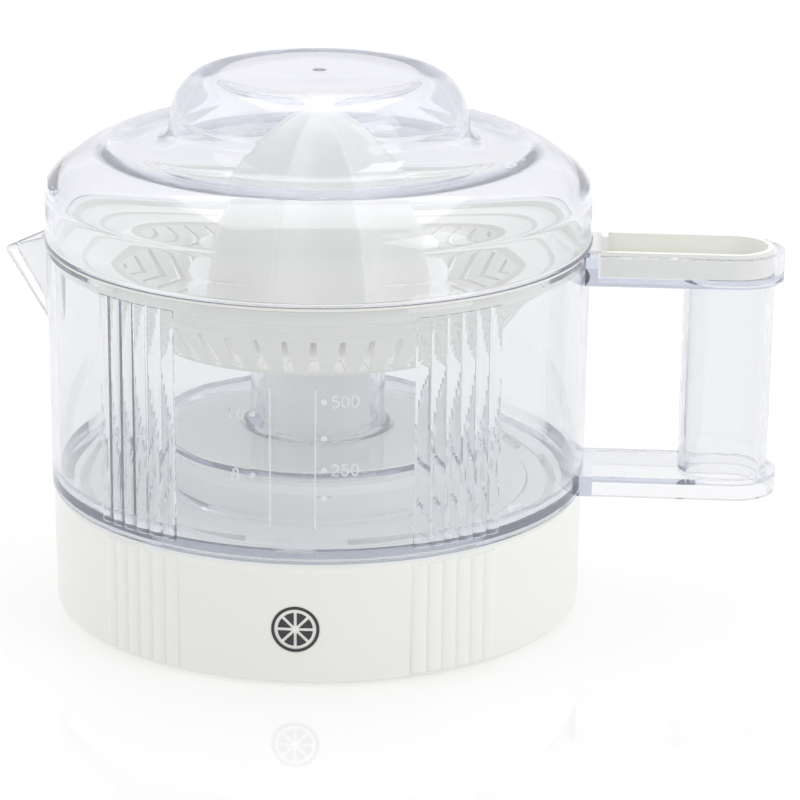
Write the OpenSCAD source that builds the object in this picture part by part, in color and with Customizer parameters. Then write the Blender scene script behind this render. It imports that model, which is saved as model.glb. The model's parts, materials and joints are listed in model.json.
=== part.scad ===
// Citrus press juicer: clear jug on a motor base, slotted strainer, ribbed reamer cone and clear cover.
// Units are millimetres. The vertical axis is Z, the handle points to +X, the spout to -X, the front is -Y.
// Heights inside the modules are counted from the base's bottom edge; placed() adds the foot ring under it.

/* [View] */
// Which sub-part to show

/* [Base] */
// Outer radius of the base shell at its top
base_r = 72; // [66:0.5:80]
// Height of the base deck that carries the jug
deck_z = 32.4; // [30:0.2:36]
// Wall thickness of the base shell
base_wall = 2.2; // [1.6:0.1:3]
// Height by which the rubber foot ring stands out under the base
foot_h = 0.8; // [0.5:0.1:3]
// Radius of the circle that the foot ring and the base screws lie on
foot_circle_r = 57; // [50:1:62]
// Outer radius of the raised hump over the gears
hump_r = 42.5; // [41.5:0.1:42.8]
// Outer radius of the tower around the drive shaft
tower_r = 14.2; // [13:0.1:15]
// Height of the tower's top
tower_z = 77.5; // [76:0.5:79]

/* [Jug] */
// Outer radius of the jug wall at its bottom
jug_r = 72.5; // [68:0.5:80]
// Outer radius of the jug wall at its rim
jug_rim_r = 72.9; // [68:0.1:80]
// Height of the jug's bottom edge
jug_z = 32.7; // [32.6:0.1:34]
// Height of the jug's rim
rim_z = 99.6; // [95:0.1:105]
// Wall thickness of the jug
jug_wall = 2; // [1.5:0.1:3]
// Outer radius of the raised plateau in the jug's floor
plateau_r = 45.5; // [45:0.1:46]
// Height of the plateau's top
plateau_z = 48.5; // [46:0.1:50]
// Outer radius of the jug's central column
column_r = 18; // [17.8:0.1:18.4]
// Height of the central column's open top
column_z = 80; // [79:0.5:81]
// How far the spout's tip lies from the axis
spout_tip_x = 84.6; // [80:0.2:90]

/* [Handle] */
// How far the handle's end lies from the axis
handle_end_x = 124.5; // [115:0.5:130]
// Half of the handle tray's width
tray_half_w = 13.4; // [12.5:0.1:15]
// Height of the underside of the handle tray
tray_z = 91.8; // [90:0.2:93]
// Half of the handle's bottom arm's width
arm_half_w = 12.2; // [11:0.1:14]
// Height of the top of the handle's bottom arm
arm_top_z = 38.4; // [37:0.2:41]
// Distance of the grip's centre from the axis
grip_x = 110; // [106:0.5:112]
// Radius of the grip's two round sides
grip_r = 10.25; // [9.5:0.05:11]
// Distance between the centres of the grip's two round sides
grip_flat = 3.7; // [2:0.1:6]

/* [Ribs on jug and base] */
// Number of upright ribs in each of the two panels
rib_count = 6; // [4:1:8]
// Angle from one rib to the next, in degrees
rib_pitch = 3.4; // [3:0.1:4]
// Angle from the front to the middle of each rib panel, in degrees
rib_panel_a = 34.75; // [30:0.25:40]
// How far the jug's ribs stand out
rib_rise = 0.9; // [0.3:0.1:1.2]
// How far the base's ribs stand out
base_rib_rise = 0.8; // [0.3:0.1:1.2]

/* [Strainer] */
// Number of slots in the strainer's conical wall
slot_count = 48; // [36:1:60]
// Slot width at the top of the conical wall
slot_top_w = 1.3; // [1:0.1:2]
// Slot width at the foot of the conical wall
slot_foot_w = 3.1; // [2:0.1:3.5]

/* [Reamer cone] */
// Number of ridges on the cone
ridge_count = 8; // [6:1:10]
// Angle by which the cone's ridges are turned from +X, in degrees
ridge_turn = -17.4; // [-22.5:0.1:22.5]
// How far the cone and shaft go down when pressed
press_travel = 2.5; // [1.5:0.1:2.6]

/* [Drive] */
// Module of the gear teeth
gear_m = 0.8; // [0.7:0.05:0.8]
// Teeth on the motor pinion and on the idler's small wheel
pinion_teeth = 12; // [12:1:14]
// Teeth on the idler's large wheel and on the output gear
wheel_teeth = 30; // [28:1:30]
// Play between meshing teeth
backlash = 0.16; // [0.1:0.01:0.2]
// Width across the flats of the hexagon at the shaft's lower end
hex_af = 5; // [4.6:0.1:5.2]
// Radius of the tips of the four fins at the shaft's upper end
fin_tip_r = 4.4; // [4:0.1:4.7]
// Thickness of the four fins
fin_w = 1.8; // [1.4:0.1:2]
// Angle by which the cone can turn on the fins before they drive it, in degrees
drive_play = 20; // [20:1:26]
// Radius of the round part of the drive shaft
shaft_r = 4.8; // [4.7:0.05:5]
// Radial clearance of running fits
running_gap = 0.05; // [0.02:0.01:0.1]

/* [Hidden] */
$fn = 96;
gear_distance = gear_m * (pinion_teeth + wheel_teeth) / 2;
idler_x = -gear_distance;
motor_x = -2 * gear_distance;
lip_z = rim_z + 0.15;
lip_top_z = rim_z + 0.9;
cover_z = rim_z + 1;
tray_end_cx = handle_end_x - tray_half_w;
arm_end_cx = handle_end_x - arm_half_w;
floor_z = jug_z + 0.5;
fin_core_r = 3.2;
white = [0.93, 0.93, 0.9];
clear_tint = [0.88, 0.89, 0.94, 0.4];
steel = [0.72, 0.73, 0.75];
acetal = [0.9, 0.89, 0.84];
rubber = [0.16, 0.16, 0.17];
copper = [0.72, 0.42, 0.22];
dark = [0.2, 0.21, 0.23];

// Points of an elliptical arc about (cx, cz), from angle a0 to angle a1.
function arc(cx, cz, rx, rz, a0, a1, n) = [
    for (i = [0 : n])
        let (a = a0 + (a1 - a0) * i / n)
            [cx + rx * cos(a), cz + rz * sin(a)]
];

// Points of a cubic curve with end points a and d and handles b and c.
function curve(a, b, c, d, n) = [
    for (i = [0 : n])
        let (t = i / n, s = 1 - t)
            s * s * s * a + 3 * s * s * t * b + 3 * s * t * t * c + t * t * t * d
];

function reversed(p) = [for (i = [len(p) - 1 : -1 : 0]) p[i]];

// The left-hand normal of a path at point i.
function path_normal(p, i) =
    let (d = p[min(i + 1, len(p) - 1)] - p[max(i - 1, 0)])
        [-d[1], d[0]] / norm(d);

// The path moved sideways by t, to the left of its direction.
function moved_path(p, t) = [for (i = [0 : len(p) - 1]) p[i] + t * path_normal(p, i)];

// Tooth flank angle, in degrees, of an involute at radius r from base radius rb.
function involute_angle(r, rb) =
    let (c = min(1, rb / r))
        180 / PI * sqrt(1 / (c * c) - 1) - acos(c);

// Half of a tooth's angle at radius r.
function half_tooth(r, teeth, rp, rb) =
    90 / teeth - 180 / PI * backlash / (4 * rp)
    + involute_angle(rp, rb) - involute_angle(max(r, rb), rb);

module placed() translate([0, 0, foot_h]) children();

module at_front(a) rotate([0, 0, a - 90]) children();

module polar(count, r, start) {
    for (i = [0 : count - 1])
        rotate([0, 0, start + 360 * i / count])
            translate([r, 0, 0])
                children();
}

module tube(r_out, r_in, z0, z1) {
    translate([0, 0, z0]) difference() {
        cylinder(r = r_out, h = z1 - z0);
        translate([0, 0, -1]) cylinder(r = r_in, h = z1 - z0 + 2);
    }
}

module rod(r, z0, z1) translate([0, 0, z0]) cylinder(r = r, h = z1 - z0);

module hex_rod(af, z0, z1) translate([0, 0, z0]) cylinder(r = af / sqrt(3), h = z1 - z0, $fn = 6);

// A spur gear's outline, with one tooth on the +X axis.
module gear_outline(teeth) {
    rp = gear_m * teeth / 2;
    rb = rp * cos(25);
    rt = rp + 0.8 * gear_m;
    rr = rp - 1.1 * gear_m;
    radii = [rr, rb + 0.1, rp, rt];
    polygon([
        for (i = [0 : teeth - 1])
            for (k = [0 : 7])
                let (
                    r = k < 4 ? radii[k] : radii[7 - k],
                    h = half_tooth(r, teeth, rp, rb),
                    a = 360 * i / teeth + (k < 4 ? -h : h)
                )
                    [r * cos(a), r * sin(a)]
    ]);
}

module gear(teeth, z0, z1, turn) {
    translate([0, 0, z0])
        rotate([0, 0, turn])
            linear_extrude(height = z1 - z0)
                gear_outline(teeth);
}

// A rounded bar along +X that starts at x0 and ends in a half circle about (cx, 0).
module round_ended_bar(x0, cx, half_w, z0, z1) {
    translate([0, 0, z0]) {
        translate([x0, -half_w, 0]) cube([cx - x0, 2 * half_w, z1 - z0]);
        translate([cx, 0, 0]) cylinder(r = half_w, h = z1 - z0);
    }
}

module grip_section(r, z0, z1) {
    for (s = [-1, 1])
        translate([grip_x + s * grip_flat / 2, 0, 0]) rod(r, z0, z1);
    translate([grip_x - grip_flat / 2, -r, z0]) cube([grip_flat, 2 * r, z1 - z0]);
}

// The upright ribs of both panels, side by side on a wall of radius r, as one scalloped prism a side.
module ribs(r, rise, z0, z1) {
    half = rib_pitch / 2;
    steps = 8;
    for (side = [-1, 1])
        at_front(side * rib_panel_a)
            translate([0, 0, z0])
                linear_extrude(height = z1 - z0)
                    polygon(concat(
                        [
                            for (i = [0 : rib_count - 1])
                                for (k = [0 : steps - 1])
                                    let (
                                        u = 2 * k / steps - 1,
                                        a = (i - (rib_count - 1) / 2) * rib_pitch + u * half,
                                        q = r + rise * sqrt(1 - 0.9 * u * u)
                                    )
                                        [q * cos(a), q * sin(a)]
                        ],
                        [
                            for (s = [1, -1])
                                let (a = s * rib_count * half)
                                    [(r - 1) * cos(a), (r - 1) * sin(a)]
                        ]
                    ));
}

function cover_outline() =
    let (z = cover_z)
        concat(
            [[jug_r + 0.9, z], [jug_r + 0.9, z + 1.1], [jug_r + 0.5, z + 1.6], [jug_r + 0.5, z + 13.2]],
            curve([73, z + 13.3], [73, z + 16.6], [64.9, z + 23.9], [57, z + 25.7], 10),
            arc(46, z + 30.3, 6, 6, -80, -180, 6),
            arc(28.6, z + 32.6, 10.8, 11.8, 5, 90, 8),
            [[12, z + 44.5], [0, z + 44.6]]
        );

module cover() {
    outer = cover_outline();
    inner = moved_path([for (i = [3 : len(outer) - 1]) outer[i]], 1.8);
    color(clear_tint) rotate_extrude() polygon(concat(
        outer,
        [[0, cover_z + 42.8]],
        reversed([for (p = inner) [max(p[0], 0.001), p[1]]]),
        [[71.2, cover_z]]
    ));
}

// The path of the cone's ridge lines, from the skirt up to just under the blunt tip.
function ridge_path() = concat(
    curve([31.9, 90.4], [29.6, 101], [25.6, 113.5], [21.4, 121], 7),
    curve([20.2, 123], [17.2, 128.2], [12, 133.9], [3, 136.5], 7)
);

// Radius of the fluted cone where its ridges are at radius r, at an angle a from a flute's middle.
function fluted_r(r, a) =
    let (h = 180 / ridge_count, hollow = 0.075 * min(1, r / 14))
        r * (cos(h) / cos(a) - hollow * (1 - a * a / (h * h)));

module fluted_cone() {
    path = ridge_path();
    rows = len(path);
    steps = 8;
    columns = ridge_count * steps;
    points = concat(
        [
            for (p = path)
                for (j = [0 : columns - 1])
                    let (
                        a = ((j % steps) / steps - 0.5) * 360 / ridge_count,
                        t = j * 360 / columns,
                        r = fluted_r(p[0], a)
                    )
                        [r * cos(t), r * sin(t), p[1]]
        ],
        [[0, 0, path[0][1]], [0, 0, path[rows - 1][1] + 0.5]]
    );
    base_point = rows * columns;
    polyhedron(
        points = points,
        faces = concat(
            [
                for (i = [0 : rows - 2])
                    for (j = [0 : columns - 1])
                        let (k = (j + 1) % columns, low = i * columns, high = low + columns)
                            each [
                                [low + j, high + j, high + k],
                                [low + j, high + k, low + k]
                            ]
            ],
            [for (j = [0 : columns - 1]) [base_point, j, (j + 1) % columns]],
            [
                for (j = [0 : columns - 1])
                    let (top = (rows - 1) * columns)
                        [base_point + 1, top + (j + 1) % columns, top + j]
            ]
        )
    );
}

// The room for the shaft's four fins: a bore with four ribs between the fins that leave them the play.
module drive_socket(z0, z1) {
    edge = 17.5;
    difference() {
        rod(fin_tip_r + 0.1, z0, z1);
        for (i = [0 : 3])
            rotate([0, 0, 90 * i + edge + drive_play])
                rotate_extrude(angle = 90 - 2 * edge - drive_play)
                    translate([fin_core_r + 0.1, z0]) square([3, z1 - z0]);
    }
}

module reamer_cone() {
    color(white) difference() {
        union() {
            rotate([0, 0, ridge_turn]) fluted_cone();
            rotate_extrude() polygon(concat(
                [[0, 88.4], [34.4, 88.4], [35.1, 89]],
                arc(33.2, 90, 1.9, 1.3, 0, 90, 4),
                [[0, 91.3]]
            ));
        }
        difference() {
            rotate_extrude() polygon([
                [0, 87], [31, 87], [31, 90], [24, 92], [20.5, 106], [15.5, 118], [8, 126], [0, 127]
            ]);
            rod(8, 86, 130);
            tube(14, 12.6, 89.6, 130);
        }
        drive_socket(88, 112);
    }
    color(white) tube(8, 5.4, 86.9, 88.6);
}

module thrust_washer() color(acetal) tube(16.5, 11.9, 88.3, 89.3);

module strainer_body() {
    rotate_extrude() polygon([
        [72.7, lip_top_z], [69.4, lip_top_z], [68.9, 97.4], [67.9, 96.9], [63.4, 95], [62.8, 93.6],
        [61.8, 93], [57, 90.2], [56.3, 88.2], [48.4, 78.2], [47.2, 77.6], [21.6, 77.6],
        [20.7, 78.5], [20.3, 84.9], [19.6, 85.7], [9.8, 85.7], [9.8, 84.2], [18.7, 84.2],
        [18.7, 76], [48.3, 76], [49.8, 77.3], [57.6, 87.3], [58.4, 88.9], [62.9, 91.6],
        [64.1, 92.2], [64.7, 93.6], [68.8, 95.4], [70.2, 96.2], [70.2, lip_z], [72.7, lip_z]
    ]);
}

module strainer_slots() {
    polar(slot_count, 0, 360 / slot_count / 2 - 90)
        rotate([0, 90, 0]) rotate([0, 0, 90])
            translate([0, 0, 40])
                linear_extrude(height = 30)
                    polygon([
                        [-slot_foot_w / 2, 77.2], [slot_foot_w / 2, 77.2],
                        [slot_top_w / 2, 87.6], [-slot_top_w / 2, 87.6]
                    ]);
}

module strainer() {
    color(white) difference() {
        union() {
            difference() {
                strainer_body();
                strainer_slots();
            }
            translate([71, -9.5, lip_z]) cube([6, 19, lip_top_z - lip_z]);
            round_ended_bar(75.6, handle_end_x - 14, 11, 94, lip_top_z);
            translate([75.6, -9.5, 94]) cube([1.8, 19, 10.4]);
        }
        round_ended_bar(77.4, handle_end_x - 14, 9.5, 95.5, 110);
    }
}

module spout_hull(r, x_tip, z_tip, half_w, z_top, z_low, x_low) {
    hull() {
        for (s = [-1, 1])
            translate([-64, s * half_w, z_top]) sphere(r = r, $fn = 24);
        translate([-70, 0, z_low]) sphere(r = r, $fn = 24);
        translate([x_low, 0, z_low]) sphere(r = r, $fn = 24);
        translate([-x_tip, 0, z_tip]) sphere(r = r, $fn = 24);
    }
}

// Two upright lines and short level marks of a measuring scale, slightly proud of the jug wall.
module scale_marks() {
    for (a = [-4.5, 4.5])
        at_front(a) translate([jug_r - 0.6, -0.25, 42.4]) cube([1, 0.5, 37.6]);
    for (z = [72.7, 56.5])
        at_front(-6.3) translate([jug_r - 0.6, -1.9, z]) cube([0.98, 3.8, 0.5]);
    for (z = [76.5, 66.9, 58.5, 51])
        at_front(6.3) translate([jug_r - 0.6, -1.9, z]) cube([0.98, 3.8, 0.5]);
}

module jug_outside() {
    rotate_extrude() polygon([
        [0, jug_z], [jug_r - 0.9, jug_z], [jug_r, jug_z + 1], [jug_r, 40],
        [jug_rim_r, rim_z - 1], [jug_rim_r - 0.5, rim_z], [0, rim_z]
    ]);
    ribs(jug_r + 0.1, rib_rise, 36.2, 97.2);
    scale_marks();
    difference() {
        spout_hull(1.8, spout_tip_x - 1.8, 94, 8.6, 101, 72, -68);
        translate([-100, -20, rim_z]) cube([60, 40, 20]);
        translate([-74, -20, 98.6]) rotate([0, -20, 0]) translate([-30, 0, 0]) cube([30, 40, 20]);
    }
    round_ended_bar(60, tray_end_cx, tray_half_w, tray_z, rim_z);
    round_ended_bar(60, arm_end_cx, arm_half_w, jug_z, arm_top_z);
    grip_section(grip_r, arm_top_z - 1, tray_z + 1);
}

module jug_inside() {
    rotate_extrude() polygon([
        [0, column_z], [column_r - 0.6, column_z], [column_r, column_z - 0.6], [column_r, plateau_z + 3],
        [18.6, plateau_z + 1], [19.6, plateau_z + 0.3], [21, plateau_z], [plateau_r - 0.3, plateau_z],
        [plateau_r, plateau_z - 0.3], [plateau_r, 36.7],
        [47, 35.2], [66.5, 35.2], [69, 36.4], [70.3, 39.6], [jug_rim_r - jug_wall - 0.3, rim_z + 2],
        [0, rim_z + 2]
    ]);
    rotate_extrude() polygon([
        [0, 31], [67, 31], [67, floor_z], [43.3, floor_z],
        [43.3, plateau_z - 2.9], [42.6, plateau_z - 2.2], [17, plateau_z - 2.2], [16, plateau_z - 1.2],
        [16, column_z + 1], [0, column_z + 1]
    ]);
    spout_hull(1.2, spout_tip_x - 3.4, 96.8, 6.6, 104, 76, -66);
    round_ended_bar(75, tray_end_cx, tray_half_w - jug_wall, tray_z + 2, rim_z + 1);
    round_ended_bar(75, arm_end_cx, arm_half_w - jug_wall, jug_z - 1, arm_top_z - 2);
    grip_section(grip_r - jug_wall, jug_z - 1, tray_z);
}

module jug() {
    color(clear_tint) {
        difference() {
            jug_outside();
            jug_inside();
        }
        polar(3, 59.75, 30) translate([-1.15, -5, 30]) cube([2.3, 10, 3.6]);
    }
}

module lock_ring() {
    color(white) difference() {
        union() {
            tube(62.4, 57.4, 29.1, 32);
            for (a = [30, 150, 270])
                rotate([0, 0, a - 7]) rotate_extrude(angle = 14) translate([62, 29.1]) square([2.6, 1.1]);
        }
        polar(3, 59.75, 30) translate([-1.3, -5.15, 29.7]) cube([2.6, 10.3, 5]);
    }
}

module base_outside() {
    rotate_extrude() polygon([
        [0, 0], [base_r - 1.1, 0], [base_r - 0.3, 0.9], [base_r, deck_z - 2.1], [base_r - 0.6, deck_z - 0.7],
        [base_r - 2, deck_z], [65, deck_z], [65, 28.9], [57, 28.9], [57, deck_z], [43.2, deck_z],
        [hump_r, 33.2], [hump_r - 0.3, 41.6], [hump_r - 2.1, 43.4], [16.2, 43.4],
        [tower_r + 0.7, 44.4], [tower_r, 47], [tower_r - 0.1, 75.4], [tower_r - 0.8, 76.9],
        [tower_r - 2, tower_z], [0, tower_z]
    ]);
    ribs(base_r - 0.3, base_rib_rise, 1.6, deck_z - 1.2);
}

module base_inside() {
    rotate_extrude() polygon([
        [0, -1], [base_r - base_wall, -1], [base_r - base_wall, 29.4], [69, 30.2], [67.2, 30.2],
        [67.2, 26.7], [54.8, 26.7], [54.8, 30.2], [40.2, 30.2], [40, 40.4], [39.2, 41.2],
        [8 + running_gap, 41.2], [8 + running_gap, 47], [11.8, 47], [11.8, 69.8], [11.4, 70.2],
        [7.5, 70.2], [7.5, 77], [5.6, 77], [5.6, 79], [0, 79]
    ]);
}

module base_housing() {
    color(white) difference() {
        union() {
            difference() {
                base_outside();
                base_inside();
            }
            for (a = [30, 150, 270])
                rotate([0, 0, a - 12]) rotate_extrude(angle = 24)
                    translate([62.8, 30.6]) square([2.4, deck_z - 30.6]);
            polar(4, foot_circle_r, 45) rod(3.8, 4.7, 27);
            polar(4, 46.5, 50) rod(3.6, 28.6, 30.4);
            translate([idler_x, 0, 0]) rod(4, 40.3, 41.4);
        }
        polar(4, foot_circle_r, 45) rod(1.5, 4, 15);
        polar(4, 46.5, 50) rod(1.2, 28, 31.4);
        translate([idler_x, 0, 0]) rod(2, 40, 41.8);
        translate([0, base_r + 4, 12]) rotate([90, 0, 0]) cylinder(r = 5.2, h = 12);
    }
}

module base_bottom() {
    color(white) difference() {
        union() {
            rod(base_r - base_wall - 0.2, 0.4, 2.6);
            tube(base_r - base_wall - 0.2, base_r - base_wall - 2, 2, 5);
            polar(4, foot_circle_r, 45) rod(7.4, 0.4, 4.6);
            translate([0, 0, 2.4]) linear_extrude(height = 1.1) square([19, 11.5], center = true);
        }
        polar(4, foot_circle_r, 45) {
            rod(3.1, 1, 3.2);
            rod(1.7, 1, 5);
        }
        tube(foot_circle_r + 3.65, foot_circle_r - 3.65, -1, 1.2);
        translate([0, 0, 2.6]) linear_extrude(height = 3) square([18.2, 10.2], center = true);
    }
}

module foot_ring() {
    color(rubber) rotate_extrude() polygon([
        [foot_circle_r - 3, -foot_h], [foot_circle_r + 3, -foot_h], [foot_circle_r + 3.6, 0],
        [foot_circle_r + 3.6, 1.2], [foot_circle_r - 3.6, 1.2], [foot_circle_r - 3.6, 0]
    ]);
}

module screw(head_r, head_h, shank_r, length) {
    difference() {
        union() {
            cylinder(r = head_r, h = head_h);
            translate([0, 0, -length]) cylinder(r = shank_r, h = length + 0.1);
        }
        for (a = [0, 90])
            rotate([0, 0, a]) translate([-head_r * 0.6, -0.35, head_h - 0.8]) cube([head_r * 1.2, 0.7, 1]);
    }
}

module base_screws() {
    color(steel) polar(4, foot_circle_r, 45)
        translate([0, 0, 3.2]) mirror([0, 0, 1]) screw(2.9, 1.8, 1.45, 10.6);
}

module cord_gland() {
    color(rubber) translate([0, base_r + 1.3, 12]) rotate([90, 0, 0]) difference() {
        union() {
            cylinder(r1 = 6.4, r2 = 7, h = 1.2);
            cylinder(r = 5.1, h = 12);
            translate([0, 0, 4]) cylinder(r = 6.6, h = 1.6);
        }
        translate([0, 0, -1]) cylinder(r = 3.5, h = 14);
    }
}

module motor_can() {
    color(steel) translate([motor_x, 0, 0]) {
        tube(21, 20, 4.6, 24.3);
        tube(20.5, 5, 4.6, 5.6);
        tube(5.5, 2 + running_gap, 4.6, 7.4);
    }
}

module motor_cap() {
    color(steel) translate([motor_x, 0, 0]) difference() {
        union() {
            rod(21, 24.4, 26.4);
            rod(19.8, 23.2, 24.5);
        }
        rod(18.4, 23, 24.5);
        rod(2 + running_gap, 20, 30);
        polar(2, 13, 90) rod(1.3, 20, 30);
    }
}

module motor_stator() {
    color(dark) translate([motor_x, 0, 0]) difference() {
        tube(19.9, 13, 10, 20);
        polar(12, 13, 0) translate([-1, -0.7, 9]) cube([4.2, 1.4, 12]);
    }
}

module motor_coil() {
    color(copper) translate([motor_x, 0, 0])
        for (z = [8.4, 21.6])
            translate([0, 0, z]) rotate_extrude() translate([16.4, 0]) circle(r = 1.5);
}

module motor_rotor() {
    color(steel) translate([motor_x, 0, 0]) {
        rod(12.5, 9.6, 20.4);
        rod(4, 7.9, 22.4);
        rod(2, 5, 35.2);
    }
}

module motor_pinion() {
    color(acetal) translate([motor_x, 0, 0]) difference() {
        gear(pinion_teeth, 30, 34.4, 180 / pinion_teeth);
        rod(2, 29, 36);
    }
}

module idler_gear() {
    color(acetal) translate([idler_x, 0, 0]) difference() {
        union() {
            gear(wheel_teeth, 30.2, 34.2, 0);
            gear(pinion_teeth, 34, 40, 180 / pinion_teeth);
            rod(3.6, 28.7, 30.4);
        }
        rod(2 + running_gap, 28, 42);
    }
}

module idler_pin() color(steel) translate([idler_x, 0, 0]) rod(2, 26.5, 41.6);

module output_gear() {
    color(acetal) difference() {
        union() {
            gear(wheel_teeth, 35.2, 39.4, 0);
            rod(3.8, 28.7, 35.3);
            rod(8, 39.2, 47.5);
        }
        hex_rod(hex_af + 0.16, 28, 50);
    }
}

module gearbox_plate() {
    color(steel) difference() {
        rod(50.6, 26.5, 28.5);
        rod(3.3, 26, 29);
        translate([motor_x, 0, 0]) rod(3, 26, 29);
        translate([motor_x, 0, 0]) polar(2, 13, 90) rod(1.35, 26, 29);
        translate([idler_x, 0, 0]) rod(2, 26, 29);
        polar(4, 46.5, 50) rod(1.4, 26, 29);
        for (a = [-35, 35])
            rotate([0, 0, a]) translate([30, 0, 0]) rod(9, 26, 29);
    }
}

module gearbox_screws() {
    color(steel) polar(4, 46.5, 50)
        translate([0, 0, 26.5]) mirror([0, 0, 1]) screw(2.6, 1.5, 1.18, 4.7);
}

module motor_screws() {
    color(steel) translate([motor_x, 0, 0]) polar(2, 13, 90)
        translate([0, 0, 28.5]) screw(2.5, 1.2, 1.28, 4.1);
}

module shaft_bush() {
    color([0.72, 0.56, 0.3]) tube(7.5, shaft_r + running_gap, 70.6, 77);
}

module shaft_seal() {
    color(rubber) rotate_extrude() polygon([
        [shaft_r + running_gap, 77.6], [8.4, 77.6], [8.4, 78.2], [6.6, 79.5], [shaft_r + running_gap, 79.5]
    ]);
}

module drive_shaft() {
    color(steel) {
        hex_rod(hex_af, 20.5, 50.2);
        rod(shaft_r, 50.1, 84.2);
        rod(7.3, 64, 66);
        rod(fin_core_r, 84, 109.6);
        for (a = [0, 90])
            rotate([0, 0, a]) intersection() {
                translate([-5, -fin_w / 2, 84]) cube([10, fin_w, 26.2]);
                union() {
                    rod(fin_tip_r, 84, 109);
                    translate([0, 0, 109]) cylinder(r1 = fin_tip_r, r2 = fin_tip_r - 1, h = 1);
                }
            }
    }
}

// A helical wire, as a twisted stack of the arc-shaped sections that a level plane cuts from it.
module press_spring() {
    turns = 5;
    height = 16.3;
    wire_r = 0.6;
    coil_r = 6.2;
    half_a = wire_r * turns * 360 / height;
    color(steel) translate([0, 0, 47.6])
        linear_extrude(height = height, twist = -360 * turns, slices = 80, $fn = 8)
            polygon([
                for (k = [0 : 19])
                    let (
                        a = half_a * cos(18 * k),
                        r = coil_r + wire_r * sin(18 * k)
                    )
                        [r * cos(a), r * sin(a)]
            ]);
}

module micro_switch() {
    color(dark) difference() {
        translate([-9, -5, 2.6]) cube([18, 10, 13.4]);
        rod(1.8, 7, 17);
        for (x = [-6.2, 6.2])
            translate([x, 6, 6]) rotate([90, 0, 0]) cylinder(r = 1.2, h = 12);
    }
}

module switch_plunger() {
    color([0.75, 0.2, 0.15]) union() {
        rod(1.8 - running_gap, 10, 20.2);
        rod(2.8, 18.8, 20.2);
    }
}

module terminal_block() {
    color(acetal) difference() {
        translate([-10, 46, 2.6]) cube([20, 9, 10]);
        for (x = [-5, 5]) {
            translate([x, 50.5, 5]) cylinder(r = 1.6, h = 10);
            translate([x, 45, 6.4]) rotate([-90, 0, 0]) cylinder(r = 1.4, h = 12);
        }
    }
}

placed() cover();
placed() reamer_cone();
placed() thrust_washer();
placed() strainer();
placed() jug();
placed() lock_ring();
placed() base_housing();
placed() base_bottom();
placed() foot_ring();
placed() base_screws();
placed() cord_gland();
placed() motor_can();
placed() motor_cap();
placed() motor_stator();
placed() motor_coil();
placed() motor_rotor();
placed() motor_pinion();
placed() idler_gear();
placed() idler_pin();
placed() output_gear();
placed() gearbox_plate();
placed() gearbox_screws();
placed() motor_screws();
placed() shaft_bush();
placed() shaft_seal();
placed() drive_shaft();
placed() press_spring();
placed() micro_switch();
placed() switch_plunger();
placed() terminal_block();
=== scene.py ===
import json
import math

import bmesh
import bpy
import numpy as np
from mathutils import Matrix, Vector


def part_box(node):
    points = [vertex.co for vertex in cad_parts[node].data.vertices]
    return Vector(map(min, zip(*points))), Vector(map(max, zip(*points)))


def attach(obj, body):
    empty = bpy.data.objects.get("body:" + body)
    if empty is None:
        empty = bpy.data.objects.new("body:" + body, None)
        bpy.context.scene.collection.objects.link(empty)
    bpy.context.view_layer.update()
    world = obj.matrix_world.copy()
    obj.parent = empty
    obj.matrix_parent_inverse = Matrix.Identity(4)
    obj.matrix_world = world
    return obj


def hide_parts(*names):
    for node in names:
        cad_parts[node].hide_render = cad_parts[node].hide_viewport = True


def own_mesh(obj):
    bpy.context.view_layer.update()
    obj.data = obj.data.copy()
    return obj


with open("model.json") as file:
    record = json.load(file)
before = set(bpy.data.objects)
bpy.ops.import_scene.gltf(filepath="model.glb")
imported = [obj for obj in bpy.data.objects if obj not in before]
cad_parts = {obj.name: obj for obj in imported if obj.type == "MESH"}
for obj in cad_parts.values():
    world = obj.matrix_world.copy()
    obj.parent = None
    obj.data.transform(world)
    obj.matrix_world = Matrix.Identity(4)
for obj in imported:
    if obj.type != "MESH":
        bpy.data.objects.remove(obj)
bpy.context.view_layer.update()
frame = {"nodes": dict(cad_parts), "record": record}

MM = 0.001
Z0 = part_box("base_housing")[0].z  # the base's bottom edge; heights below are counted from it
scene = bpy.context.scene

# ---------------------------------------------------------------- camera
CAM_AZ = 5.1  # degrees to the right of the front, seen from the object's axis
CAM_YAW = 1.49  # how far the camera looks past the axis
CAM_PITCH = 17.75
CAM_ROLL = 0.625
CAM_DISTANCE = 853.5 * MM  # level distance from the object's axis
CAM_HEIGHT = 327.1 * MM  # above the base's bottom edge
CAM_LENS = 148.0


def turn(degrees, axis):
    return Matrix.Rotation(math.radians(degrees), 3, axis)


cam_data = bpy.data.cameras.new("camera")
cam_data.sensor_width = 36
cam_data.lens = CAM_LENS
cam_data.clip_start, cam_data.clip_end = 0.05, 20
cam = bpy.data.objects.new("camera", cam_data)
scene.collection.objects.link(cam)
cam_angle = math.radians(CAM_AZ)
cam.location = (CAM_DISTANCE * math.sin(cam_angle), -CAM_DISTANCE * math.cos(cam_angle), Z0 + CAM_HEIGHT)
aim = turn(CAM_AZ - CAM_YAW, "Z") @ turn(90 - CAM_PITCH, "X")
cam.rotation_euler = (aim @ turn(CAM_ROLL, "Z")).to_euler()
scene.camera = cam

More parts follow.
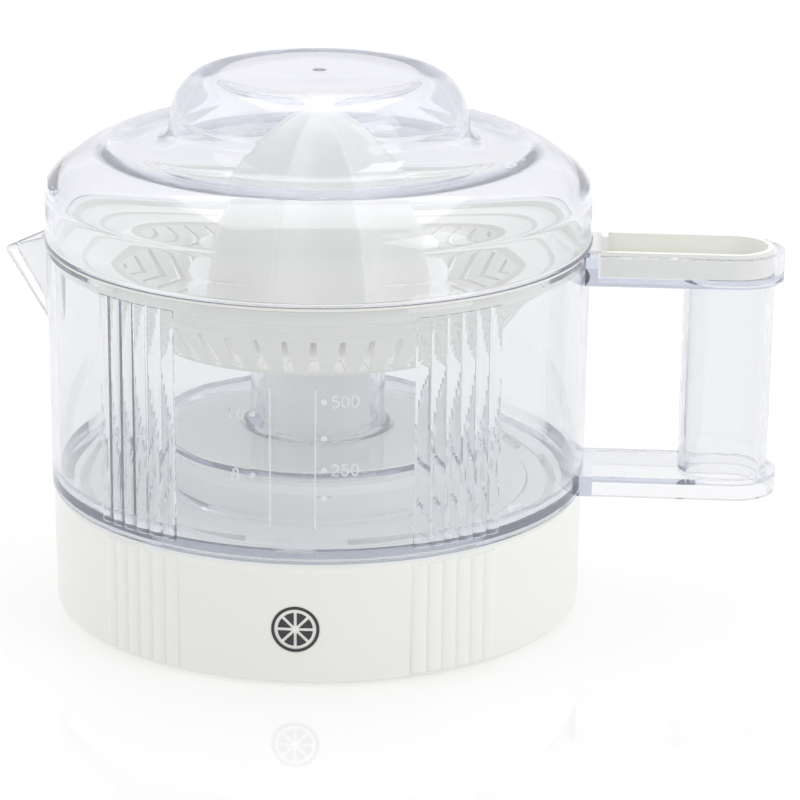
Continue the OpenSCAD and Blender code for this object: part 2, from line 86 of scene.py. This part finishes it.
# ---------------------------------------------------------------- light
scene.view_settings.view_transform = "Standard"
scene.cycles.max_bounces = 24
scene.cycles.transmission_bounces = 20
scene.cycles.transparent_max_bounces = 24
scene.cycles.glossy_bounces = 8
WORLD_FRONT = (0.60, 0.60, 0.615)
WORLD_BACK = (0.88, 0.88, 0.89)
WORLD_FADE = (-0.9, 0.5)  # Y of the view direction where the front colour ends and the back colour begins
LIGHT_TARGET = (0.015, 0, 0.07)
LIGHTS = (  # name, place, size in m, power in W
    ("key_right", (0.75, -0.45, 0.75), (0.5, 0.7), 2.7),
    ("fill_left", (-0.8, -0.35, 0.5), (0.5, 0.8), 0.95),
    ("top", (0, 0.15, 1.0), (0.9, 0.7), 3.5),
)


def make_world():
    """A pale studio: bright behind the object, dimmer and slightly blue on the camera's side."""
    world = bpy.data.worlds.new("studio")
    scene.world = world
    world.use_nodes = True
    nt = world.node_tree
    nt.nodes.clear()
    out = nt.nodes.new("ShaderNodeOutputWorld")
    back = nt.nodes.new("ShaderNodeBackground")
    coord = nt.nodes.new("ShaderNodeTexCoord")
    axes = nt.nodes.new("ShaderNodeSeparateXYZ")
    ramp = nt.nodes.new("ShaderNodeValToRGB")
    spread = nt.nodes.new("ShaderNodeMapRange")
    spread.inputs["From Min"].default_value, spread.inputs["From Max"].default_value = WORLD_FADE
    ramp.color_ramp.elements[0].position = 0.0
    ramp.color_ramp.elements[0].color = (*WORLD_FRONT, 1)
    ramp.color_ramp.elements[1].position = 1.0
    ramp.color_ramp.elements[1].color = (*WORLD_BACK, 1)
    nt.links.new(coord.outputs["Generated"], axes.inputs[0])
    nt.links.new(axes.outputs["Y"], spread.inputs["Value"])
    nt.links.new(spread.outputs["Result"], ramp.inputs[0])
    nt.links.new(ramp.outputs[0], back.inputs["Color"])
    back.inputs["Strength"].default_value = 1.0
    nt.links.new(back.outputs[0], out.inputs["Surface"])


def area_light(name, place, size, power):
    data = bpy.data.lights.new(name, "AREA")
    data.shape = "RECTANGLE"
    data.size, data.size_y = size
    data.energy = power
    ob = bpy.data.objects.new(name, data)
    ob.location = place
    direction = Vector(LIGHT_TARGET) - Vector(place)
    ob.rotation_euler = direction.to_track_quat("-Z", "Y").to_euler()
    scene.collection.objects.link(ob)


make_world()
for light in LIGHTS:
    area_light(*light)

# ---------------------------------------------------------------- materials
# a noise is given by its scale, detail and roughness, a bump's height in metres
CLOUD_NOISE = (16, 3, 0.45)  # slow change of colour in moulded plastic
SHEEN_NOISE = (40, 2, 0.5)  # change of its gloss
GRAIN_NOISE = (900, 2, 0.5)
CLEAR_GLOSS_NOISE = (45, 3, 0.6)
CLEAR_WAVE_NOISE = (55, 2, 0.45)  # the slight unevenness of a moulded clear wall
CLEAR_WAVE_HEIGHT = 0.00025
CLEAR_IOR = 1.49
CLEAR_ROUGHNESS = (0.0, 0.035)
BUMP_STRENGTH = 0.12
FROST_COLOURS = ((0.90, 0.90, 0.93), (0.95, 0.95, 0.97))
FROST_COVER = 0.42  # how much of a frosted mark hides what is behind it
FINE_GRAIN = 0.00001
COARSE_GRAIN = 0.00004


def new_material(name):
    mat = bpy.data.materials.new(name)
    mat.use_nodes = True
    nt = mat.node_tree
    nt.nodes.clear()
    out = nt.nodes.new("ShaderNodeOutputMaterial")
    bsdf = nt.nodes.new("ShaderNodeBsdfPrincipled")
    nt.links.new(bsdf.outputs[0], out.inputs["Surface"])
    return mat, nt, bsdf, out


def noise(nt, scale, detail=3.0, rough=0.5, stretch=(1, 1, 1)):
    coord = nt.nodes.new("ShaderNodeTexCoord")
    mapping = nt.nodes.new("ShaderNodeMapping")
    mapping.inputs["Scale"].default_value = stretch
    tex = nt.nodes.new("ShaderNodeTexNoise")
    tex.inputs["Scale"].default_value = scale
    tex.inputs["Detail"].default_value = detail
    tex.inputs["Roughness"].default_value = rough
    nt.links.new(coord.outputs["Object"], mapping.inputs["Vector"])
    nt.links.new(mapping.outputs[0], tex.inputs["Vector"])
    return tex.outputs["Fac"]


def remap(nt, value, low, high):
    node = nt.nodes.new("ShaderNodeMapRange")
    node.inputs["To Min"].default_value = low
    node.inputs["To Max"].default_value = high
    nt.links.new(value, node.inputs["Value"])
    return node.outputs["Result"]


def two_tone(nt, value, one, two, low=0.35, high=0.65):
    ramp = nt.nodes.new("ShaderNodeValToRGB")
    ramp.color_ramp.elements[0].position = low
    ramp.color_ramp.elements[0].color = (*one, 1)
    ramp.color_ramp.elements[1].position = high
    ramp.color_ramp.elements[1].color = (*two, 1)
    nt.links.new(value, ramp.inputs[0])
    return ramp.outputs[0]


def bump(nt, bsdf, value, strength, distance):
    node = nt.nodes.new("ShaderNodeBump")
    node.inputs["Strength"].default_value = strength
    node.inputs["Distance"].default_value = distance
    nt.links.new(value, node.inputs["Height"])
    nt.links.new(node.outputs[0], bsdf.inputs["Normal"])


def moulded_plastic(name, one, two, rough=(0.2, 0.3), grain_height=FINE_GRAIN, coat=0.15):
    """Opaque plastic that drifts between two colours, with a fine grain and a thin gloss on top."""
    mat, nt, bsdf, _ = new_material(name)
    cloud = noise(nt, *CLOUD_NOISE)
    nt.links.new(two_tone(nt, cloud, one, two, 0.1, 0.9), bsdf.inputs["Base Color"])
    nt.links.new(remap(nt, noise(nt, *SHEEN_NOISE), *rough), bsdf.inputs["Roughness"])
    bump(nt, bsdf, noise(nt, *GRAIN_NOISE), BUMP_STRENGTH, grain_height)
    bsdf.inputs["IOR"].default_value = 1.5
    bsdf.inputs["Coat Weight"].default_value = coat
    bsdf.inputs["Coat Roughness"].default_value = 0.08
    return mat


def clear_plastic(name, tint, absorb, density, haze):
    """Clear plastic that absorbs a little along the ray; light and shadow pass straight through it."""
    mat, nt, bsdf, out = new_material(name)
    bsdf.inputs["Base Color"].default_value = (*tint, 1)
    bsdf.inputs["Transmission Weight"].default_value = 1 - haze
    bsdf.inputs["IOR"].default_value = CLEAR_IOR
    nt.links.new(remap(nt, noise(nt, *CLEAR_GLOSS_NOISE), *CLEAR_ROUGHNESS), bsdf.inputs["Roughness"])
    bump(nt, bsdf, noise(nt, *CLEAR_WAVE_NOISE), BUMP_STRENGTH, CLEAR_WAVE_HEIGHT)
    light = nt.nodes.new("ShaderNodeLightPath")
    through = nt.nodes.new("ShaderNodeBsdfTransparent")
    through.inputs["Color"].default_value = (1, 1, 1, 1)
    soft_ray = nt.nodes.new("ShaderNodeMath")
    soft_ray.operation = "MAXIMUM"
    nt.links.new(light.outputs["Is Shadow Ray"], soft_ray.inputs[0])
    nt.links.new(light.outputs["Is Diffuse Ray"], soft_ray.inputs[1])
    mix = nt.nodes.new("ShaderNodeMixShader")
    nt.links.new(soft_ray.outputs[0], mix.inputs["Fac"])
    nt.links.new(bsdf.outputs[0], mix.inputs[1])
    nt.links.new(through.outputs[0], mix.inputs[2])
    nt.links.new(mix.outputs[0], out.inputs["Surface"])
    volume = nt.nodes.new("ShaderNodeVolumeAbsorption")
    volume.inputs["Color"].default_value = (*absorb, 1)
    volume.inputs["Density"].default_value = density
    nt.links.new(volume.outputs[0], out.inputs["Volume"])
    return mat


def frosted_plastic(name):
    """Raised marks in clear plastic: a little whiter and duller than the wall they stand on."""
    mat, nt, bsdf, out = new_material(name)
    nt.links.new(two_tone(nt, noise(nt, 200, 2, 0.5), *FROST_COLOURS), bsdf.inputs["Base Color"])
    nt.links.new(remap(nt, noise(nt, 500, 2, 0.5), 0.25, 0.4), bsdf.inputs["Roughness"])
    see_through = nt.nodes.new("ShaderNodeBsdfTransparent")
    mix = nt.nodes.new("ShaderNodeMixShader")
    mix.inputs["Fac"].default_value = FROST_COVER
    nt.links.new(see_through.outputs[0], mix.inputs[1])
    nt.links.new(bsdf.outputs[0], mix.inputs[2])
    nt.links.new(mix.outputs[0], out.inputs["Surface"])
    return mat


def metal(name, one, two, rough=(0.22, 0.38), grain=(1, 1, 14)):
    """Metal with fine lines, squeezed along each axis by the grain's number for it."""
    mat, nt, bsdf, _ = new_material(name)
    lines = noise(nt, 260, 3, 0.6, grain)
    nt.links.new(two_tone(nt, lines, one, two), bsdf.inputs["Base Color"])
    nt.links.new(remap(nt, lines, *rough), bsdf.inputs["Roughness"])
    bump(nt, bsdf, lines, 0.2, FINE_GRAIN)
    bsdf.inputs["Metallic"].default_value = 1
    return mat


white = moulded_plastic("white_shell", (0.895, 0.90, 0.85), (0.915, 0.92, 0.87), rough=(0.26, 0.32))
food_white = moulded_plastic("white_food_plastic", (0.825, 0.83, 0.785), (0.845, 0.85, 0.805))
clear_cover = clear_plastic("clear_cover", (0.945, 0.942, 0.955), (0.42, 0.50, 0.80), 30, 0.06)
clear_jug = clear_plastic("clear_jug", (0.965, 0.965, 0.967), (0.44, 0.52, 0.74), 25, 0.08)
steel = metal("zinc_steel", (0.62, 0.63, 0.65), (0.74, 0.75, 0.77))
laminations = metal("laminations", (0.09, 0.095, 0.1), (0.2, 0.205, 0.215), (0.4, 0.6), (1, 1, 40))
copper = metal("winding", (0.42, 0.17, 0.06), (0.66, 0.32, 0.14), (0.25, 0.45), (1, 1, 30))
bronze = metal("sintered_bronze", (0.4, 0.26, 0.1), (0.56, 0.39, 0.18), (0.4, 0.6), (1, 1, 1))
acetal = moulded_plastic("acetal", (0.76, 0.74, 0.66), (0.8, 0.78, 0.71), rough=(0.35, 0.5), coat=0)
rubber = moulded_plastic("rubber", (0.016, 0.016, 0.018), (0.03, 0.03, 0.032), rough=(0.6, 0.8),
                         grain_height=COARSE_GRAIN, coat=0)
black = moulded_plastic("black_plastic", (0.012, 0.012, 0.013), (0.022, 0.022, 0.024), rough=(0.35, 0.5),
                        coat=0)
red = moulded_plastic("red_plastic", (0.42, 0.03, 0.02), (0.5, 0.045, 0.03), rough=(0.25, 0.4))
ink = moulded_plastic("dark_ink", (0.03, 0.031, 0.034), (0.045, 0.046, 0.05), rough=(0.3, 0.45), coat=0)
frosted = frosted_plastic("frosted_marks")

SLOT_MATERIAL = {
    "clear_cover": clear_cover, "clear_jug": clear_jug, "white_plastic": white,
    "white_food_plastic": food_white, "steel": steel, "laminations": laminations, "copper": copper,
    "acetal": acetal, "rubber": rubber, "bronze": bronze, "black_plastic": black, "red_plastic": red,
}
for part in frame["record"]["subparts"]:
    node = frame["nodes"][part["node"]]
    node.data.materials.clear()
    node.data.materials.append(SLOT_MATERIAL[part["material_slot"]])


# ---------------------------------------------------------------- mesh helpers
def mesh_piece(name, verts, faces, material, body, slot, smooth_angle):
    """One visible piece from points in metres; it rides on the body. Its slot argument is not used."""
    mesh = bpy.data.meshes.new(name)
    mesh.from_pydata([tuple(v) for v in verts], [], faces)
    mesh.validate()
    bm = bmesh.new()
    bm.from_mesh(mesh)
    bmesh.ops.remove_doubles(bm, verts=bm.verts, dist=1e-7)
    bmesh.ops.recalc_face_normals(bm, faces=bm.faces)
    bm.to_mesh(mesh)
    bm.free()
    mesh.materials.append(material)
    ob = bpy.data.objects.new(name, mesh)
    scene.collection.objects.link(ob)
    mesh.shade_smooth()
    mesh.set_sharp_from_angle(angle=math.radians(smooth_angle))
    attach(ob, body)
    return ob


def lathe(profile, segments):
    """A closed profile turned about the Z axis. Its points are (r, z) in mm, z from the base's edge."""
    verts, faces = [], []
    n = len(profile)
    for k in range(segments):
        t = 2 * math.pi * k / segments
        for r, z in profile:
            verts.append((r * MM * math.cos(t), r * MM * math.sin(t), z * MM + Z0))
    for k in range(segments):
        k2 = (k + 1) % segments
        for i in range(n):
            j = (i + 1) % n
            faces.append((k * n + i, k2 * n + i, k2 * n + j, k * n + j))
    return verts, faces


def arc(cx, cz, rx, rz, a0, a1, n):
    """n + 1 points on an ellipse, from angle a0 to a1 in degrees."""
    return [(cx + rx * math.cos(math.radians(a0 + (a1 - a0) * i / n)),
             cz + rz * math.sin(math.radians(a0 + (a1 - a0) * i / n))) for i in range(n + 1)]


def curve(p0, p1, p2, p3, n):
    """n + 1 points on a cubic Bezier curve."""
    out = []
    for i in range(n + 1):
        t = i / n
        s = 1 - t
        weights = (s * s * s, 3 * s * s * t, 3 * s * t * t, t * t * t)
        out.append(tuple(sum(w * p[k] for w, p in zip(weights, (p0, p1, p2, p3))) for k in (0, 1)))
    return out


def offset(path, d):
    """The path moved to its left by d."""
    pts = np.array(path)
    out = []
    for i in range(len(pts)):
        t = pts[min(i + 1, len(pts) - 1)] - pts[max(i - 1, 0)]
        t /= np.linalg.norm(t)
        out.append((pts[i][0] - t[1] * d, pts[i][1] + t[0] * d))
    return out


# ---------------------------------------------------------------- cover
COVER_Z = 100.6  # height of the cover's bottom edge
COVER_R, COVER_INNER_R = 73.0, 71.2
COVER_FOOT_WALL = 1.8  # thickness of the wall around the knob's foot
COVER_SEGMENTS = 240


def cover_paths():
    """Outer and inner line of the cover from its bottom edge to the middle, and its top by radius."""
    z = COVER_Z
    flange = [(COVER_R, z), (73.3, z + 0.08), (73.4, z + 0.3), (73.4, z + 0.85), (73.3, z + 1.15),
              (73.05, z + 1.45), (COVER_R, z + 1.8), (COVER_R, z + 5.0)]
    shoulder = curve((COVER_R, z + 13.2), (COVER_R, z + 16.6), (64.9, z + 23.9), (57.0, z + 25.7), 26)
    annulus = curve((57.0, z + 25.7), (54.0, z + 26.25), (50.0, z + 24.95), (47.04, z + 24.4), 14)[1:-1]
    foot = arc(46.0, z + 30.3, 6.0, 6.0, -80, -180, 16)
    knob = arc(28.6, z + 32.6, 10.8, 11.8, 5, 90, 20)
    crown = [(20.0, z + 44.47), (12.0, z + 44.52), (6.0, z + 44.57), (2.3, z + 44.59), (1.7, z + 44.59),
             (1.5, z + 44.5), (1.2, z + 44.3), (0.9, z + 44.25), (0.0, z + 44.25)]
    outer = flange + shoulder + annulus + foot + knob + crown
    wall = [(COVER_INNER_R, z + 5.0)]
    turn_in = curve((COVER_INNER_R, z + 11.0), (COVER_INNER_R, z + 16.3), (66.6, z + 20.4),
                    (60.0, z + 23.0), 26)
    inner_top = curve((60.0, z + 23.0), (56.5, z + 24.3), (51.5, z + 23.4), (47.35, z + 22.63), 16)[1:-1]
    inner_foot = offset(foot + knob[:1], COVER_FOOT_WALL)[:-1]
    inner_knob = arc(25.2, z + 30.4, 12.2, 12.35, 8, 90, 22)
    inner_crown = [(12.0, z + 42.75), (0.0, z + 42.8)]
    inner = wall + turn_in + inner_top + inner_foot + inner_knob + inner_crown
    return outer, inner, sorted(shoulder + annulus + foot + knob)


cover_outer, cover_inner, cover_top = cover_paths()
cover_bottom = [(COVER_INNER_R, COVER_Z + 0.25), (COVER_INNER_R + 0.25, COVER_Z)]
cover_mesh = lathe(cover_outer + cover_inner[::-1] + cover_bottom, COVER_SEGMENTS)
cover = mesh_piece("cover_shell", *cover_mesh, clear_cover, "cover_body", "clear_cover", 50)
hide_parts("cover")

# ---------------------------------------------------------------- reamer cone
FLUTES = 8
RIDGE_TURN = -17.4  # azimuth of the first ridge
FLUTE_A = 22.5  # half a flute's angle
FLUTE_STEPS = 20
FLUTE_HOLLOW = 0.11  # depth of a flute's hollow as a share of the radius
RIDGE_SOFTNESS = 1.1  # rounding of the ridges in degrees
TIP_HOLLOW_R, TIP_ROUND_R = 14, 7  # below these radii the flutes get shallower, then blend into a round tip
BORE_R, RIB_DEPTH = 4.5, 1.2


def fluted(r, a):
    """Radius of the fluted cone whose ridges are at radius r, at a degrees from a flute's middle."""
    u = FLUTE_A - abs(a)
    k = FLUTE_A / (math.hypot(FLUTE_A, RIDGE_SOFTNESS) - RIDGE_SOFTNESS)
    a = FLUTE_A - k * (math.hypot(u, RIDGE_SOFTNESS) - RIDGE_SOFTNESS)
    hollow = FLUTE_HOLLOW * min(1.0, r / TIP_HOLLOW_R)
    flat = math.cos(math.radians(FLUTE_A)) / math.cos(math.radians(a))
    sharp = r * (flat - hollow * (1 - a * a / FLUTE_A ** 2))
    blend = min(1.0, r / TIP_ROUND_R)
    return blend * sharp + (1 - blend) * r * 0.96


def socket(r, t):
    """Radius of the bore for the shaft's fins: r between the four ribs that the fins push on."""
    return r - RIB_DEPTH if 37.5 <= t % 90 <= 72.5 else r


def cone_rings():
    """The cone's closed skin as rings of ((rule, radius), z), down the outside and up inside the hollow."""
    ridge = (curve((31.9, 90.9), (29.6, 101), (25.6, 113.5), (21.4, 121), 16)
             + curve((20.8, 122.0), (17.2, 128.2), (12, 133.9), (3, 136.5), 14))
    tip = [(0.0, 136.95), (1.4, 136.85)]
    skirt = ([(31.2, 91.05), (32.2, 91.25)] + arc(33.3, 90.0, 1.8, 1.3, 80, 0, 7)
             + [(34.9, 89.2), (34.6, 88.6), (34.2, 88.4)])
    cavity = [(31.3, 88.4), (31.0, 88.7), (31.0, 90), (24, 92), (20.5, 106), (15.5, 118), (8.6, 125.5),
              (8, 125.5), (8, 87.2), (7.7, 86.9)]
    mouth = [(5.6, 86.9), (5.4, 87.2), (5.4, 88.4)]
    rings = [(("round", r), z) for r, z in tip]
    rings += [(("flute", r), z) for r, z in reversed(ridge)]
    rings += [(("round", r), z) for r, z in skirt + cavity + mouth]
    rings += [(("socket", BORE_R), 88.4), (("socket", BORE_R), 112.0), (("round", 0.0), 112.05)]
    return rings


def cone_mesh():
    """The rings of the cone, with points closer together near the ridges."""
    columns = FLUTES * FLUTE_STEPS
    verts, faces = [], []
    for (rule, size), z in cone_rings():
        for j in range(columns):
            k, s = divmod(j, FLUTE_STEPS)
            a = FLUTE_A * math.sin(math.pi * (s / FLUTE_STEPS - 0.5))
            t = RIDGE_TURN + 2 * FLUTE_A * k + FLUTE_A + a
            r = {"flute": fluted(size, a), "socket": socket(size, t), "round": size}[rule]
            x, y = r * math.cos(math.radians(t)), r * math.sin(math.radians(t))
            verts.append((x * MM, y * MM, z * MM + Z0))
    rows = len(verts) // columns
    for i in range(rows - 1):
        for j in range(columns):
            k = (j + 1) % columns
            faces.append((i * columns + j, i * columns + k, (i + 1) * columns + k, (i + 1) * columns + j))
    return verts, faces


cone = mesh_piece("cone_shell", *cone_mesh(), food_white, "cone_body", "white_food_plastic", 30)
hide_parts("reamer_cone")

# ---------------------------------------------------------------- return spring
SPRING_LOW, SPRING_HIGH = 47.6, 63.9
SPRING_TURNS = 5
SPRING_R, WIRE_R = 6.2, 0.58
SPRING_STEPS, WIRE_SIDES = 36 * SPRING_TURNS, 10
SPRING_GAP = 0.02  # clearance at both ends


def clamped(value):
    return min(1, max(0, value))


def spring_mesh():
    """A round wire on a helix whose end coils lie flat; it is closed with a cap at each end."""
    steps, around = SPRING_STEPS, WIRE_SIDES
    low, high = SPRING_LOW + WIRE_R + SPRING_GAP, SPRING_HIGH - WIRE_R - SPRING_GAP
    verts = []
    for k in range(steps + 1):
        t = k / steps
        rise = 0.5 - 0.5 * math.cos(math.pi * clamped((t - 0.06) / 0.88))
        z = low + (high - low) * (0.35 * rise + 0.65 * clamped((t - 0.1) / 0.8))
        angle = 2 * math.pi * SPRING_TURNS * t
        for j in range(around):
            b = 2 * math.pi * j / around
            r = SPRING_R + WIRE_R * math.cos(b)
            height = z + WIRE_R * math.sin(b)
            verts.append((r * MM * math.cos(angle), r * MM * math.sin(angle), height * MM + Z0))
    faces = [tuple(range(around)), tuple(range(steps * around, (steps + 1) * around))[::-1]]
    for k in range(steps):
        for j in range(around):
            i = (j + 1) % around
            faces.append((k * around + j, (k + 1) * around + j, (k + 1) * around + i, k * around + i))
    return verts, faces


spring = mesh_piece("return_spring", *spring_mesh(), steel, "output_body", "steel", 60)
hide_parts("press_spring")
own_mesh(spring)

# ---------------------------------------------------------------- marks on the jug, the cover and the base
# azimuths are in degrees from the front, positive to the right; heights and sizes are in mm
JUG_R_LOW, JUG_R_TOP = 72.5, 72.9
JUG_WALL_LOW, JUG_WALL_HEIGHT = 40, 58.6
SCALE_LIFT = 0.3
SCALE_NUMERALS = (("16", -11.3, 72.7), ("8", -11.3, 56.5), ("500", 10.6, 76.5), ("250", 10.6, 58.5))
SCALE_DOTS = ((-8.0, 72.7), (-8.0, 56.5), (6.2, 76.5), (6.2, 66.9), (6.2, 58.5), (6.2, 51.0))
SCALE_LINE_AZIMUTHS = (-4.5, 4.5)
SCALE_LINE_LOW, SCALE_LINE_STEP, SCALE_LINE_STEPS = 42.6, 3.1, 12
SCALE_LINE_HALF = 0.2
ARROW = [(-2.6, 0.0), (-0.6, 1.5), (-0.6, 0.4), (3.2, 0.4), (3.2, -0.4), (-0.6, -0.4), (-0.6, -1.5)]
ARROW_AZ, ARROW_Z = 49.0, 41.6
COVER_MARKS = ((-79.9, 6.2), (65.8, 4.2), (73.5, 1.4))  # azimuth and width
COVER_MARK_R, COVER_MARK_DEPTH = 56.6, 2.0
BASE_R = 71.9
FRONT_MARK_AZ, FRONT_MARK_Z, FRONT_MARK_R = 0.5, 15.2, 6.2
FRONT_MARK_SINK, FRONT_MARK_LIFT = 0.02, 0.09
MARK_SMOOTH = 30  # edges sharper than this many degrees stay sharp


def wall_r(z):
    """Outer radius of the jug's wall at height z."""
    return JUG_R_LOW + (JUG_R_TOP - JUG_R_LOW) * max(0.0, z - JUG_WALL_LOW) / JUG_WALL_HEIGHT


def on_wall(u, z, lift, azimuth, radius):
    """A point u mm to the right of the azimuth, wrapped on a wall of that radius."""
    t = math.radians(azimuth - 90) + u / radius
    return ((radius + lift) * MM * math.cos(t), (radius + lift) * MM * math.sin(t), z * MM + Z0)


def slab_faces(n):
    """Faces of a slab whose first n points are its bottom outline and the next n its top outline."""
    sides = [(i, (i + 1) % n, n + (i + 1) % n, n + i) for i in range(n)]
    return [tuple(range(n))[::-1], tuple(range(n, 2 * n))] + sides


def wrapped_slab(outline, azimuth, height, radius, lift, sink=-0.12):
    """A closed flat shape, given as (u, v) points in mm, from sink to lift mm over the wall."""
    verts = [on_wall(u, height + v, sink, azimuth, radius) for u, v in outline]
    verts += [on_wall(u, height + v, lift, azimuth, radius) for u, v in outline]
    return verts, slab_faces(len(outline))


def joined(parts):
    """Several meshes as one."""
    verts, faces = [], []
    for v, f in parts:
        base = len(verts)
        verts += v
        faces += [tuple(i + base for i in face) for face in f]
    return verts, faces


def bar(u0, u1, v0, v1):
    return [(u0, v0), (u1, v0), (u1, v1), (u0, v1)]


def ribbon(path, width):
    """A closed outline that follows an open path at the given width."""
    left = offset(path, width / 2)
    right = offset(path, -width / 2)
    return left + right[::-1]


# strokes of each numeral in a cell 0.6 wide and 1 high: arcs as (cx, cy, rx, ry, from, to), lines as points
GLYPHS = {
    "0": [("arc", 0.3, 0.5, 0.26, 0.46, 90, 270), ("arc", 0.3, 0.5, 0.26, 0.46, 270, 450)],
    "1": [("line", (0.12, 0.76), (0.34, 0.96), (0.34, 0.04))],
    "2": [("arc", 0.3, 0.7, 0.25, 0.26, 170, -40), ("line", (0.49, 0.53), (0.06, 0.05), (0.56, 0.05))],
    "5": [("line", (0.52, 0.95), (0.12, 0.95), (0.09, 0.54)), ("arc", 0.28, 0.34, 0.27, 0.29, 135, -150)],
    "6": [("arc", 0.3, 0.32, 0.25, 0.27, 170, 350), ("arc", 0.3, 0.32, 0.25, 0.27, 350, 530),
          ("arc", 0.52, 0.36, 0.47, 0.6, 172, 112)],
    "8": [("arc", 0.3, 0.72, 0.2, 0.22, 90, 270), ("arc", 0.3, 0.72, 0.2, 0.22, 270, 450),
          ("arc", 0.3, 0.28, 0.26, 0.25, 90, 270), ("arc", 0.3, 0.28, 0.26, 0.25, 270, 450)],
}


def numeral(text, azimuth, z, h=3.2, width=0.42):
    """Raised numerals on the jug, h mm high and centred on the azimuth."""
    slabs = []
    for i, char in enumerate(text):
        left = (i - len(text) / 2) * 0.78 * h
        for kind, *shape in GLYPHS[char]:
            path = arc(*shape, 18) if kind == "arc" else shape
            outline = ribbon([(left + h * x, h * (y - 0.5)) for x, y in path], width)
            slabs.append(wrapped_slab(outline, azimuth, z, wall_r(z), SCALE_LIFT))
    return slabs


def dot(azimuth, z, r=0.75):
    ring = [(r * math.cos(k * math.pi / 8), r * math.sin(k * math.pi / 8)) for k in range(16)]
    return wrapped_slab(ring, azimuth, z, wall_r(z), 0.35)


scale = []
for text, azimuth, z in SCALE_NUMERALS:
    scale += numeral(text, azimuth, z)
for azimuth, z in SCALE_DOTS:
    scale.append(dot(azimuth, z))
line_piece = bar(-SCALE_LINE_HALF, SCALE_LINE_HALF, 0, SCALE_LINE_STEP)
for azimuth in SCALE_LINE_AZIMUTHS:
    for k in range(SCALE_LINE_STEPS):
        z = SCALE_LINE_LOW + k * SCALE_LINE_STEP
        scale.append(wrapped_slab(line_piece, azimuth, z, wall_r(z + 1.5), SCALE_LIFT))
scale.append(wrapped_slab(ARROW, ARROW_AZ, ARROW_Z, wall_r(ARROW_Z), SCALE_LIFT))
mesh_piece("jug_scale", *joined(scale), frosted, "jug_body", "clear_jug", MARK_SMOOTH)


def on_cover(u, v, lift, azimuth, radius):
    """A point on top of the cover, u mm to the right and v mm outwards of the azimuth and radius."""
    t = math.radians(azimuth - 90) + u / radius
    r = radius + v
    z = float(np.interp(r, *zip(*cover_top)))
    return r * MM * math.cos(t), r * MM * math.sin(t), (z + lift) * MM + Z0


def top_slab(outline, azimuth, radius, sink=-0.1, lift=0.1):
    """A closed flat shape that follows the top of the cover."""
    verts = [on_cover(u, v, sink, azimuth, radius) for u, v in outline]
    verts += [on_cover(u, v, lift, azimuth, radius) for u, v in outline]
    return verts, slab_faces(len(outline))


def outlined(w, h, stroke=0.35, gap=0.02):
    """The four sides of an upright rectangle, as bars that stay just clear of each other."""
    inner_h = h / 2 - stroke - gap
    return [bar(-w / 2, w / 2, h / 2 - stroke, h / 2), bar(-w / 2, w / 2, -h / 2, stroke - h / 2),
            bar(-w / 2, stroke - w / 2, -inner_h, inner_h), bar(w / 2 - stroke, w / 2, -inner_h, inner_h)]


cover_marks = [top_slab(side, azimuth, COVER_MARK_R)
               for azimuth, width in COVER_MARKS for side in outlined(width, COVER_MARK_DEPTH)]
mesh_piece("cover_marks", *joined(cover_marks), frosted, "cover_body", "clear_cover", MARK_SMOOTH)


def slice_mark(radius, rim=0.8):
    """A round slice of fruit: a rim in two halves and eight wedges, as flat shapes in mm."""
    middle = radius - rim / 2
    shapes = [ribbon(arc(0, 0, middle, middle, a, a + 179.8, 24), rim) for a in (0, 180)]
    for k in range(8):
        point = arc(0, 0, 1, 1, 45 * k + 22.5, 45 * k + 22.5, 1)[:1]
        shapes.append(point + arc(0, 0, radius - 1.7, radius - 1.7, 45 * k + 5, 45 * k + 40, 4))
    return shapes


front_mark = [wrapped_slab(shape, FRONT_MARK_AZ, FRONT_MARK_Z, BASE_R, FRONT_MARK_LIFT, FRONT_MARK_SINK)
              for shape in slice_mark(FRONT_MARK_R)]
mesh_piece("front_mark", *joined(front_mark), ink, "base", "black_plastic", MARK_SMOOTH)

# ---------------------------------------------------------------- floor
FLOOR_COLOURS = ((0.345, 0.345, 0.344), (0.36, 0.36, 0.359))
FLOOR_ROUGHNESS = (0.03, 0.045)
FLOOR_GLOW = 0.54  # the floor is lit from below, as a light table is

bpy.ops.mesh.primitive_plane_add(size=6, location=(0, 0, 0))
floor = bpy.context.object
floor.name = "floor"
floor_mat, nt, bsdf, _ = new_material("floor")
nt.links.new(two_tone(nt, noise(nt, 3, 2, 0.5), *FLOOR_COLOURS), bsdf.inputs["Base Color"])
nt.links.new(remap(nt, noise(nt, 14, 2, 0.5), *FLOOR_ROUGHNESS), bsdf.inputs["Roughness"])
bsdf.inputs["IOR"].default_value = 1.45
bsdf.inputs["Emission Color"].default_value = (1, 1, 0.995, 1)
bsdf.inputs["Emission Strength"].default_value = FLOOR_GLOW
floor.data.materials.append(floor_mat)
